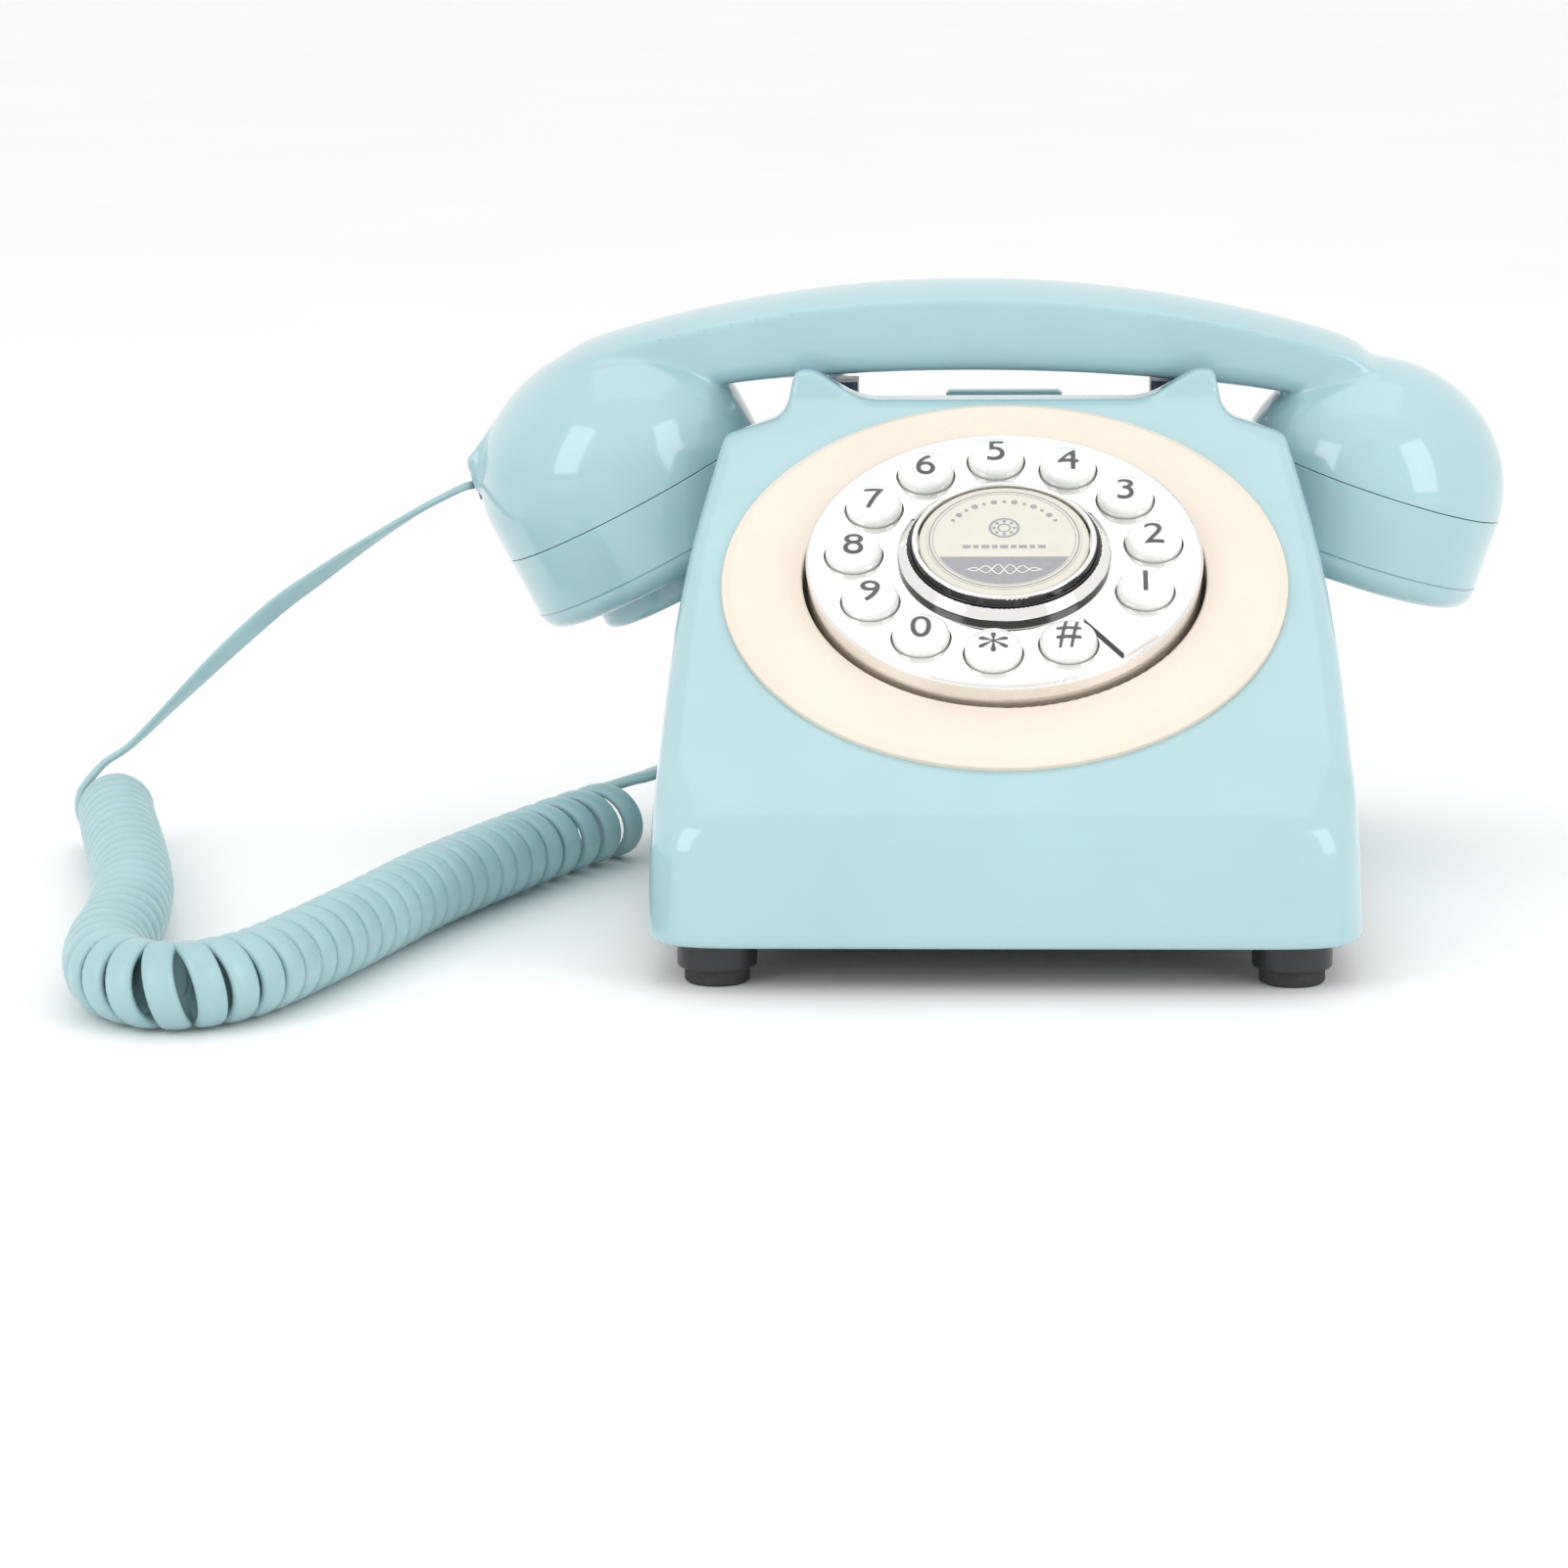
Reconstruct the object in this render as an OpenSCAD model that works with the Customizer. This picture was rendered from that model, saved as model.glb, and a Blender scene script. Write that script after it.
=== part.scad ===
// Push-button desk telephone: sloped case with a cradle, round keypad, handset and curly cord.
// Units are millimetres. +X is the phone's right seen from the front, +Y points to its back, +Z is up.
// The origin is on the table, under the centre of the box around the case and the handset.

/* [Case] */
// width of the case at its foot
case_w = 140.4; // [120:0.2:180]
// depth of the case, front wall to rear wall
case_d = 184; // [150:1:220]
// slope of the dial face from the horizontal
face_slope = 30.5; // [20:0.5:45]
// height of the case's bottom edge above the table
foot_h = 9; // [5:0.5:15]
// wall thickness of the case
wall = 2.5; // [1.5:0.1:4]

/* [Dial] */
// outer diameter of the cream ring
ring_d = 115.5; // [90:0.5:130]
// diameter of the chrome disc
disc_d = 80.8; // [60:0.2:100]
// diameter of one key
key_d = 11.5; // [8:0.1:14]
// radius of the circle the keys stand on
key_circle_r = 30.6; // [24:0.5:40]
// how far a key goes down
key_travel = 1.5; // [0.5:0.1:3]

/* [Handset] */
// radius of the mouthpiece end
mouth_r = 31; // [25:0.5:36]
// radius of the earpiece end
ear_r = 29.3; // [25:0.1:36]
// width of the grip, front to back
grip_w = 29; // [20:0.5:36]
// height of the grip's top above the table
grip_top = 125.3; // [110:0.5:140]

/* [Cord] */
// outer diameter of the curly part
coil_d = 17; // [10:0.5:25]
// thickness of the plain ends
lead_d = 4; // [3:0.1:6]

/* [View] */
// which node to draw

/* [Hidden] */
$fn = 96;

gap = 0.3;
assembly_x = 4.5;

// case
front_y = -case_d / 2;
rear_y = case_d / 2;
half_w = case_w / 2;
dial_y = front_y + 64;
dial_z = 71;
face_rise = tan(face_slope);
corner_r = 12;
side_x = half_w - 2.6;
side_z = 68;
shoulder_x = 59.4;
shoulder_z = 95.6;
front_rim_z = 101.6;
rear_rim_z = 95.5;
horn_z = 108;
horn_x = 44.4;
trough_z = 94;
cradle_y = 50;
rest_x = 40.7;
neck_x = 43.5;
scoop_x = 80;
scoop_r = 36.5;
shoulder_rise = [60, 29];
screw_x = 45;
screw_y = [-76, 74];
pillar_top = [39.5, 56.5];
foot_x = 56.5;
foot_y = [-79, 76];

// dial, heights measured square to the face
disc_top = 6.9;
disc_t = 1.5;
board_w = -6;
key_top = 10.6;
flange_w = 3.3;
stem_w = -4.2;
hub_r = 21.75;
cap_r = 17.4;
cap_h = 4.2;
ring_bore = disc_d / 2 + 0.8;
opening_r = ring_bore + 3.4;
key_pitch = 28.8;
first_key = 112;
stop_angle = 136;

// handset
grip_peak_x = -8;
top_arc_r = 272;
under_arc_r = 480;
grip_t = 19.2;
mouth_tilt = 27.5;
ear_tilt = 18.5;
mouth_seam = [-81.5, 78.3];
ear_seam = [80.4, 81.5];
mouth_dome = 3;
ear_dome = -3;
mouth_h = 18.6;
ear_h = 21.2;
cap_edge = 4.6;
groove_cut = 0.35;
mouth_groove = 13.6;
ear_groove = 15.4;
shell_t = 2.6;
disc_r = 19.2;
disc_drop = 5.6;
boss = [-116, 80.4];
boss_tilt = 15;
boss_r = 6.8;
boss_rise = 4.4;
boss_brow = 6.3;
boss_slope = 35;

// hook
hook_x = 34.6;
hook_top = 103.2;
hook_bar = [66, 72];
spring_seat = 40;
board_z = 22;

// sockets
jack_y = 44;
jack_z = 17;
jack_box = [12, 12, 10.6];
plug_box = [12.3, 7.7, 6.6];
latch_drop = 1.1;
usb_z = 26;

// cord paths, each a list of points on its centre line
coil_z = coil_d / 2 + 0.3;
coil_points = [[-198, 44, coil_z], [-193, 22, coil_z], [-185, -12, coil_z], [-179, -42, coil_z],
    [-176, -70, coil_z], [-175, -94, coil_z], [-170, -112, coil_z], [-158, -120, coil_z],
    [-146, -112, coil_z], [-137, -92, coil_z], [-128, -66, coil_z], [-119, -38, coil_z],
    [-110, -16, coil_z], [-101, 4, coil_z], [-94, 18, coil_z], [-86, 32, coil_z]];
lead_points = [[-116.9, 50, 80.1], [-120, 50, 79.1], [-130, 51, 73.8], [-143, 53, 65.5], [-153, 55, 58.5],
    [-162, 57, 52], [-174, 59, 41.5], [-185, 61, 30], [-195, 61, 20.5], [-201, 58, 14], [-202.5, 53, 10.5],
    [-200.5, 48, 9], [-198, 44, coil_z]];
tail_points = [[-86, 32, coil_z], [-83.4, 36.8, 9.8], [-79, 41.4, 13.4], [-74.2, jack_y, jack_z]];

// ---------------------------------------------------------------- helpers

function unit(v) = v / norm(v);
// half of the turn between the two sides that meet at b
function half_turn(a, b, c) = acos(max(-1, min(1, unit(b - a) * unit(c - b)))) / 2;
function flat(corner) = [corner[0], corner[1]];
function turns_left(a, b, c) = cross(b - a, c - b) > 0;
function tangent_length(a, b, c, r) = r * tan(half_turn(a, b, c));
function fillet_centre(a, b, c, r) =
    b + unit(unit(a - b) + unit(c - b)) * r / cos(half_turn(a, b, c));

// A polygon listed counter-clockwise as [x, y, radius]: every corner becomes a true arc.
module rounded_polygon(corners) {
    count = len(corners);
    before = [for (i = [0:count - 1]) flat(corners[(i + count - 1) % count])];
    here = [for (corner = corners) flat(corner)];
    after = [for (i = [0:count - 1]) flat(corners[(i + 1) % count])];
    cuts = [for (i = [0:count - 1]) tangent_length(before[i], here[i], after[i], corners[i][2])];
    starts = [for (i = [0:count - 1]) here[i] + unit(before[i] - here[i]) * cuts[i]];
    ends = [for (i = [0:count - 1]) here[i] + unit(after[i] - here[i]) * cuts[i]];
    difference() {
        union() {
            polygon([for (i = [0:count - 1]) each cuts[i] > 0 ? [starts[i], ends[i]] : [here[i]]]);
            for (i = [0:count - 1])
                if (cuts[i] > 0 && turns_left(before[i], here[i], after[i])) corner_arc(i);
        }
        for (i = [0:count - 1])
            if (cuts[i] > 0 && !turns_left(before[i], here[i], after[i])) corner_arc(i);
    }

    // the sector of the corner's circle between its two tangent points
    module corner_arc(i) {
        centre = fillet_centre(before[i], here[i], after[i], corners[i][2]);
        intersection() {
            translate(centre) circle(corners[i][2]);
            polygon([starts[i], here[i], ends[i], centre]);
        }
    }
}

// the right half of an outline, completed by its mirror image
function mirrored(half) = concat(half, [for (i = [len(half) - 1:-1:0]) [-half[i][0], half[i][1], half[i][2]]]);

module rounded_square(w, d, r) {
    rounded_polygon([[w / 2, -d / 2, r], [w / 2, d / 2, r], [-w / 2, d / 2, r], [-w / 2, -d / 2, r]]);
}

// extrudes an outline drawn in Y and Z along X
module along_x(length) rotate([90, 0, 90]) linear_extrude(length, center = true) children();

// extrudes an outline drawn in X and Z from one Y to another
module along_y(from_y, to_y) translate([0, to_y, 0]) rotate([90, 0, 0]) linear_extrude(to_y - from_y) children();

module placed() translate([assembly_x, 0, 0]) children();

module on_face() translate([0, dial_y, dial_z]) rotate([face_slope, 0, 0]) children();

module both_sides() {
    children();
    mirror([1, 0, 0]) children();
}

module at_corners(x, ys) for (side = [-1, 1], y = ys) translate([side * x, y, 0]) children();

// a point on the cord's path: a smooth curve through the listed points
function curve_point(points, t) =
    let (last = len(points) - 1, i = min(floor(t), last - 1), f = t - i,
        a = points[max(i - 1, 0)], b = points[i], c = points[i + 1], d = points[min(i + 2, last)])
    0.5 * (2 * b + (c - a) * f + (2 * a - 5 * b + 4 * c - d) * f * f + (3 * b - a - 3 * c + d) * f * f * f);

function ring_points(centre, along, radius, sides) =
    let (side = unit(cross(along, [0, 0, 1])), up = unit(cross(side, along)))
    [for (k = [0:sides - 1]) centre + radius * (cos(360 * k / sides) * side + sin(360 * k / sides) * up)];

// a round tube through the listed points
module tube(points, diameter, sides, per_span) {
    steps = (len(points) - 1) * per_span;
    centres = [for (i = [0:steps]) curve_point(points, i / per_span)];
    rings = [for (i = [0:steps])
        each ring_points(centres[i], centres[min(i + 1, steps)] - centres[max(i - 1, 0)], diameter / 2, sides)];
    walls = [for (i = [0:steps - 1], k = [0:sides - 1])
        let (next = (k + 1) % sides)
        [i * sides + k, (i + 1) * sides + k, (i + 1) * sides + next, i * sides + next]];
    ends = [[for (k = [0:sides - 1]) k], [for (k = [sides - 1:-1:0]) steps * sides + k]];
    polyhedron(rings, concat(walls, ends), convexity = 6);
}

// ---------------------------------------------------------------- case

// side outline of the case in Y and Z, horns and trough included
module case_side_outline() {
    rounded_polygon([[front_y, foot_h, 2], [rear_y, foot_h, 2], [rear_y, 26, 12],
        [73.4, horn_z - 0.5, 2.4], [67.4, horn_z - 0.5, 2.2], [61.5, trough_z, 6], [38.5, trough_z, 6],
        [32.8, horn_z, 2.2], [27.4, horn_z, 2.2], [24.9, face_z(24.9), 4], [front_y, face_z(front_y), 11.5]]);
}

// height of the dial face at one Y
function face_z(y) = dial_z + (y - dial_y) * face_rise;

// front outline of the case in X and Z, seen at the front horns
module front_outline() {
    rounded_polygon(mirrored([[half_w, foot_h, 2], [side_x, side_z, 160], [shoulder_x, shoulder_z, 3],
        [horn_x + 2.3, shoulder_z + 3.3, 5], [horn_x + 0.4, horn_z, 2.2], [horn_x - 3.2, horn_z, 1.4],
        [30.6, front_rim_z, 14]]));
}

// the same outline at the lower rear rim
module rear_outline() {
    rounded_polygon(mirrored([[half_w, foot_h, 2], [side_x, side_z, 160], [shoulder_x, rear_rim_z, 3],
        [neck_x + 0.4, rear_rim_z, 0.5], [neck_x + 0.4, horn_z, 0.5], [neck_x - 4.6, horn_z, 1.8],
        [31.5, rear_rim_z, 8]]));
}

// room for one end of the handset, beside the neck and above the shoulder
module handset_scoop() {
    intersection() {
        linear_extrude(140) {
            translate([scoop_x, cradle_y]) circle(scoop_r);
            translate([neck_x, cradle_y]) square([60, 60]);
        }
        along_y(-20, 130) rounded_polygon([[neck_x, shoulder_rise[0], 18], [100, shoulder_rise[1], 0],
            [100, 140, 0], [neck_x, 140, 0]]);
    }
}

// the inner skin's Y beside the scoop, at one X
function scoop_edge(x) = cradle_y - sqrt(pow(scoop_r + wall, 2) - pow(scoop_x - x, 2));

// what is left for the inside between the scoops: a neck above, full width below the shoulders
module between_scoops() {
    inner_neck = neck_x - wall;
    linear_extrude(140) rounded_polygon(mirrored([[scoop_x, -100, 0], [scoop_x, scoop_edge(scoop_x), 0],
        [64, scoop_edge(64), 0], [52, scoop_edge(52), 0], [44, scoop_edge(44), 0],
        [inner_neck, cradle_y, 0], [inner_neck, 100, 0]]));
    along_y(-100, 100) rounded_polygon(mirrored([[scoop_x, 0, 0],
        [scoop_x, shoulder_rise[0] - 1.2 * wall - (scoop_x - neck_x) * 0.549, 0],
        [inner_neck, shoulder_rise[0] - wall, 0]]));
}

module case_outside() {
    difference() {
        intersection() {
            along_x(case_w + 10) case_side_outline();
            linear_extrude(140) rounded_square(case_w, case_d, corner_r);
            union() {
                along_y(front_y - 1, cradle_y) front_outline();
                along_y(cradle_y, rear_y + 1) rear_outline();
            }
        }
        both_sides() handset_scoop();
    }
}

module case_inside() {
    inner_top = trough_z - wall;
    face_drop = wall / cos(face_slope);
    intersection() {
        along_x(case_w) polygon([[front_y + wall, foot_h - 1], [rear_y - wall, foot_h - 1],
            [rear_y - wall, 26 - wall], [74.4, inner_top], [11.7, inner_top],
            [front_y + wall, face_z(front_y + wall) - face_drop]]);
        linear_extrude(140) rounded_square(case_w - 2 * wall, case_d - 2 * wall, corner_r - wall);
        along_y(front_y, rear_y) rounded_polygon(mirrored([[half_w - wall, foot_h - 1, 0],
            [side_x - wall, side_z, 0], [shoulder_x - wall, inner_top, 0]]));
        between_scoops();
    }
}

// pillars for the base screws, each up into the wall above it
module screw_pillars() {
    for (i = [0, 1]) at_corners(screw_x, [screw_y[i]]) translate([0, 0, foot_h + 3]) difference() {
        cylinder(pillar_top[i] - foot_h - 3, r = 4);
        translate([0, 0, -1]) cylinder(15, r = 1.5);
    }
}

// the raised seats the grip lies on, between the front and the rear horns
module cradle_seats() {
    for (seat = [[-rest_x, 104], [rest_x, 102.5]])
        translate([seat[0] - 2.5, 30, trough_z - 1]) cube([5, 40, seat[1] - trough_z + 1]);
}

module case_shell() {
    color("#a9d3d8") difference() {
        union() {
            difference() {
                case_outside();
                case_inside();
            }
            cradle_seats();
            // carrying ledge in the middle of the rear rim
            translate([0, 73, rear_rim_z - 2]) linear_extrude(4.6) rounded_square(26, 5, 1.2);
            screw_pillars();
        }
        on_face() translate([0, 0, -12]) cylinder(20, r = opening_r + gap);
        both_sides() translate([hook_x, cradle_y, trough_z - 10]) linear_extrude(20) square([6.6, 13], center = true);
        // the cord's jack in the left side and the charging socket at the back
        translate([-half_w - 1, jack_y - jack_box[1] / 2, jack_z - jack_box[2] / 2])
            cube([6, jack_box[1], jack_box[2]]);
        translate([-5.5, rear_y - 4, usb_z - 3.6]) cube([11, 6, 7.2]);
    }
}

module base_plate() {
    plate_w = case_w - 2 * wall - 2 * gap - 1.2;
    color("#2b2d30") difference() {
        union() {
            translate([0, 0, foot_h + 0.2])
                linear_extrude(2.5) rounded_square(plate_w, case_d - 2 * wall - 2 * gap - 0.4, corner_r - wall);
            // seats of the hook's springs and posts of the main board
            both_sides() translate([hook_x - 6, cradle_y, foot_h + 1]) cylinder(spring_seat - foot_h - 1, r = 4.5);
            for (x = [-38, 38], y = [34, 78])
                translate([x, y, foot_h + 1]) cylinder(board_z - foot_h - 1, r = 3);
        }
        at_corners(screw_x, screw_y) {
            translate([0, 0, foot_h - 1]) cylinder(6, r = 1.7);
            translate([0, 0, foot_h - 1]) cylinder(2.6, r = 3.3);
        }
        at_corners(foot_x, foot_y) translate([0, 0, foot_h - 1]) cylinder(6, r = 2.5);
    }
}

module base_screws() {
    color("#8d9093") at_corners(screw_x, screw_y) difference() {
        union() {
            translate([0, 0, foot_h + 0.1]) cylinder(1.5, r = 2.9);
            translate([0, 0, foot_h + 1]) cylinder(12, r = 1.45);
        }
        translate([0, 0, foot_h]) linear_extrude(1) square([3.6, 0.8], center = true);
        translate([0, 0, foot_h]) linear_extrude(1) square([0.8, 3.6], center = true);
    }
}

module foot_caps() {
    color("#1d1d1f") at_corners(foot_x, foot_y) rotate_extrude()
        rounded_polygon([[4.2, 3.2, 0], [7.9, 3.2, 0.6], [7.9, foot_h + 0.1, 0.4], [2.4, foot_h + 0.1, 0],
            [2.4, foot_h + 3.4, 0.6], [0, foot_h + 3.4, 0], [0, 5.6, 0], [4.2, 5.6, 0]]);
}

module foot_pads() {
    color("#2a2a2a") at_corners(foot_x, foot_y) rotate_extrude()
        rounded_polygon([[0, 0, 0], [6.5, 0, 0.8], [6.5, 3.2, 0], [4.1, 3.2, 0], [4.1, 5.5, 0.4], [0, 5.5, 0]]);
}

// ---------------------------------------------------------------- dial

// Turns a point at the top of the key circle clockwise round the dial.
module round_dial(angle, radius) rotate([0, 0, -angle]) translate([0, radius, 0]) children();

// clock angle of a key, counted from the first key
function key_angle(index) = first_key - index * key_pitch;

module dial_ring() {
    color("#f6ead4") on_face() rotate_extrude()
        rounded_polygon([[ring_bore, board_w, 0], [opening_r, board_w, 0], [opening_r, 0.02, 0],
            [ring_d / 2, 0.02, 0], [ring_d / 2, 1, 0.4], [ring_d / 2 - 1.8, 1.8, 0], [ring_bore, 2.4, 0.5]]);
}

module dial_disc() {
    outer = disc_d / 2;
    color("#d9dbdc") on_face() difference() {
        rotate_extrude() rounded_polygon([[outer - 1.6, board_w, 0], [outer, board_w, 0], [outer, disc_top, 0.8],
            [5, disc_top, 0], [5, disc_top - disc_t, 0], [outer - 1.6, disc_top - disc_t, 0.6]]);
        for (index = [0:11]) round_dial(key_angle(index), key_circle_r)
            translate([0, 0, disc_top - disc_t - 1]) cylinder(disc_t + 2, r = key_d / 2 + 0.4);
    }
}

module hub_ring() {
    color("#cfd1d2") on_face() rotate_extrude()
        translate([0, disc_top]) rounded_polygon([[cap_r + gap, 0, 0], [hub_r, 0, 0], [hub_r, 1.2, 0.8],
            [hub_r - 2, 2.9, 0.9], [hub_r - 2.6, 2.5, 0.2], [hub_r - 3, 4.4, 0.6], [cap_r + gap, 4.6, 0.4]]);
}

module hub_cap() {
    color("#f3ead6") on_face() rotate_extrude()
        translate([0, disc_top]) rounded_polygon([[0, -3, 0], [4.8, -3, 0], [4.8, 0, 0], [cap_r, 0, 0],
            [cap_r, 3.9, 0.6], [cap_r - 1.6, cap_h, 0.6], [0, cap_h, 0]]);
}

module hub_label() {
    color("#efe9da") on_face() translate([0, 0, disc_top + cap_h]) cylinder(0.25, r = cap_r - 1.8);
}

module finger_stop() {
    color("#d9dbdc") on_face() rotate([0, 0, 90 - stop_angle]) translate([0, 0, disc_top])
        linear_extrude(0.9) rounded_polygon([[24.4, -2.7, 2.6], [39.6, -4.8, 0.4], [39.6, 4.8, 0.4],
            [24.4, 2.7, 2.6]]);
}

module key(index) {
    key_r = key_d / 2;
    dome_r = 11;
    color("#eef2f0") on_face() round_dial(key_angle(index), key_circle_r) rotate_extrude() intersection() {
        rounded_polygon([[0, stem_w, 0], [2.4, stem_w, 0.3], [2.4, flange_w, 0], [key_r + 1.4, flange_w, 0.3],
            [key_r + 1.4, disc_top - disc_t - 0.1, 0.3], [key_r, disc_top - disc_t - 0.1, 0],
            [key_r, key_top - 0.9, 2.4], [0, key_top, 0]]);
        translate([0, key_top - dome_r]) union() {
            circle(dome_r);
            translate([0, -20]) square([20, 20]);
        }
    }
}

module keypad_mat() {
    color("#8a8f92") on_face() difference() {
        union() {
            translate([0, 0, board_w]) cylinder(1, r = disc_d / 2 - 2);
            for (index = [0:11]) round_dial(key_angle(index), key_circle_r)
                translate([0, 0, board_w]) cylinder(4, r = 4.8);
        }
        for (index = [0:11]) round_dial(key_angle(index), key_circle_r)
            translate([0, 0, board_w - 1]) cylinder(8, r = 3.7);
        translate([0, 0, board_w - 1]) cylinder(4, r = 20);
    }
}

module keypad_board() {
    color("#2f6b46") on_face() translate([0, 0, board_w - 1.6]) cylinder(1.6, r = opening_r);
}

// ---------------------------------------------------------------- inside the case

module main_board() {
    color("#2f6b46") translate([0, 56, board_z]) linear_extrude(1.6) difference() {
        rounded_square(80, 56, 2);
        both_sides() translate([hook_x - 6, cradle_y - 56]) circle(6);
    }
}

module battery() {
    color("#4a6fa5") translate([0, 3, foot_h + 2.7]) linear_extrude(8) rounded_square(50, 34, 3);
}

module ballast() {
    color("#77797b") translate([0, -45, foot_h + 2.7]) linear_extrude(4) rounded_square(96, 46, 4);
}

module usb_socket() {
    color("#b9bbbd") translate([0, 86.4, board_z + 1.6]) difference() {
        translate([-3.75, -2.9, 0]) cube([7.5, 5.6, 4.4]);
        translate([-3.3, -1.9, 0.5]) cube([6.6, 6, 3.4]);
    }
}

// two plungers joined by a bar, with a finger that works the switch
module hook_yoke() {
    color("#33465c") {
        both_sides() {
            translate([hook_x, cradle_y, hook_bar[0]])
                linear_extrude(hook_top - hook_bar[0]) rounded_square(5.6, 11.6, 1);
            translate([hook_x / 2, cradle_y, hook_bar[0]])
                linear_extrude(hook_bar[1] - hook_bar[0]) square([hook_x + 1, 8], center = true);
        }
        translate([-2, cradle_y - 2, board_z + 8.2]) cube([4, 4, hook_bar[0] - board_z - 8]);
    }
}

module hook_springs() {
    color("#a8abad") both_sides() translate([hook_x - 6, cradle_y, spring_seat])
        linear_extrude(hook_bar[0] - spring_seat) difference() {
            circle(4);
            circle(3);
        }
}

module hook_switch() {
    color("#26282b") translate([-6.5, cradle_y - 3, board_z + 1.6]) cube([13, 6, 6.4]);
}

// a socket open on its -X side, with a moulded front flange
module jack(width, height, depth) {
    difference() {
        translate([0, -width / 2, -height / 2]) cube([depth, width, height]);
        translate([-1, 0, 0]) plug_room(depth - 1, 0.1);
    }
}

// the space a plug and its latch take, from the jack's mouth inwards
module plug_room(depth, clearance) {
    translate([0, -plug_box[1] / 2 - clearance, -plug_box[2] / 2 - latch_drop - clearance])
        cube([depth, plug_box[1] + 2 * clearance, plug_box[2] + latch_drop + 2 * clearance]);
}

module base_jack() {
    color("#1f2123") translate([-half_w + 1.6, jack_y, jack_z]) jack(jack_box[1] - 0.4, jack_box[2] - 0.4, 12);
}

// ---------------------------------------------------------------- handset

module at_cradle() translate([0, cradle_y, 0]) children();

// local frame of one end of the handset: +Z up the end's axis, origin in the seam
module at_mouth() at_cradle() translate([mouth_seam[0], 0, mouth_seam[1]]) rotate([0, -mouth_tilt, 0]) children();

module at_ear() at_cradle() translate([ear_seam[0], 0, ear_seam[1]]) rotate([0, ear_tilt, 0]) children();

module at_boss() at_cradle() translate([boss[0], 0, boss[1]]) rotate([0, -boss_tilt, 0]) children();

module dome(radius, rise) {
    difference() {
        union() {
            translate([0, 0, rise]) sphere(radius);
            if (rise > 0) cylinder(rise, r = radius);
        }
        translate([0, 0, -40]) linear_extrude(40) square(100, center = true);
    }
}

// a bar bent along an arc about a point below the handset's highest point, to one angle on each side of it
module bent_bar(radius, crest_z, left, right) {
    at_cradle() translate([grip_peak_x, 0, crest_z - radius]) rotate([90, 0, 0])
        rotate([0, 0, 90 - right]) rotate_extrude(angle = left + right, $fn = 240) children();
}

// The grip: a bar with a crowned top cut to the shape of a bar with a rounded underside.
module grip(inset) {
    half = grip_w / 2 - inset;
    crest = top_arc_r - inset;
    floor_r = under_arc_r + inset;
    intersection() {
        bent_bar(top_arc_r, grip_top, 18, 20) rounded_polygon([[crest - 60, -half, 0], [crest - 3.4, -half, 1.2],
            [crest, -half / 2, 9], [crest, half / 2, 9], [crest - 3.4, half, 1.2], [crest - 60, half, 0]]);
        bent_bar(under_arc_r, grip_top - grip_t, 10.5, 10.5) rounded_polygon([[floor_r, -half + 2, 3.5],
            [floor_r + 16, -half, 0], [floor_r + 60, -half, 0], [floor_r + 60, half, 0],
            [floor_r + 16, half, 0], [floor_r, half - 2, 3.5]]);
    }
}

module handset_shell() {
    color("#a9d3d8") difference() {
        union() {
            at_mouth() dome(mouth_r, mouth_dome);
            at_ear() dome(ear_r, ear_dome);
            difference() {
                grip(0);
                at_mouth() translate([0, 0, -80]) cylinder(80, r = 60);
                at_ear() translate([0, 0, -80]) cylinder(80, r = 60);
            }
            at_boss() cord_boss();
        }
        at_mouth() translate([0, 0, -1]) dome(mouth_r - shell_t, mouth_dome + 1);
        at_ear() translate([0, 0, -1]) dome(ear_r - shell_t, ear_dome + 1);
        difference() {
            grip(4.2);
            at_cradle() translate([-160, -30, 0]) cube([75, 60, 200]);
            at_cradle() translate([85, -30, 0]) cube([75, 60, 200]);
        }
        at_boss() {
            translate([-1, 0, 0]) plug_room(8, 0.3);
            translate([5, -4.9, -5.1]) cube([14, 9.8, 10]);
        }
    }
}

// the hood over the plug, with a sloping brow
module cord_boss() {
    difference() {
        translate([0, 0, boss_rise]) rotate([0, 90, 0]) cylinder(16, r = boss_r);
        translate([0, 0, boss_brow]) rotate([0, -boss_slope, 0]) translate([-30, -20, 0]) cube([60, 40, 30]);
    }
}

// a cap that closes one end: straight side with a fine groove, rounded lower edge and a collar inside the seam
module end_cap(radius, height, hole_r, groove) {
    inner = radius - shell_t;
    rotate([180, 0, 0]) rotate_extrude() difference() {
        rounded_polygon([[hole_r, height - shell_t, 0], [inner, height - shell_t, 4], [inner, 4, 0],
            [inner - 2.6, 4, 0], [inner - 2.6, -3, 0], [inner - 1.2, -3, 0], [inner - 1.2, 0.2, 0],
            [radius, 0.2, 0.2], [radius, height, cap_edge], [hole_r, height, 0]]);
        translate([radius - groove_cut, groove]) square([1, groove_cut]);
    }
}

module mouthpiece_cap() {
    color("#a9d3d8") at_mouth() end_cap(mouth_r, mouth_h, disc_r - 4, mouth_groove);
}

module mouth_disc() {
    color("#a9d3d8") at_mouth() rotate([180, 0, 0]) difference() {
        rotate_extrude() rounded_polygon([[0, mouth_h + disc_drop - 2, 0], [disc_r - 6.5, mouth_h + disc_drop - 2, 0],
            [disc_r - 6.5, mouth_h - 6, 0], [disc_r - 4.2, mouth_h - 6, 0], [disc_r - 4.2, mouth_h, 0],
            [disc_r, mouth_h, 0], [disc_r, mouth_h + disc_drop, 2], [0, mouth_h + disc_drop, 0]]);
        sound_holes(mouth_h, 8);
    }
}

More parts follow.
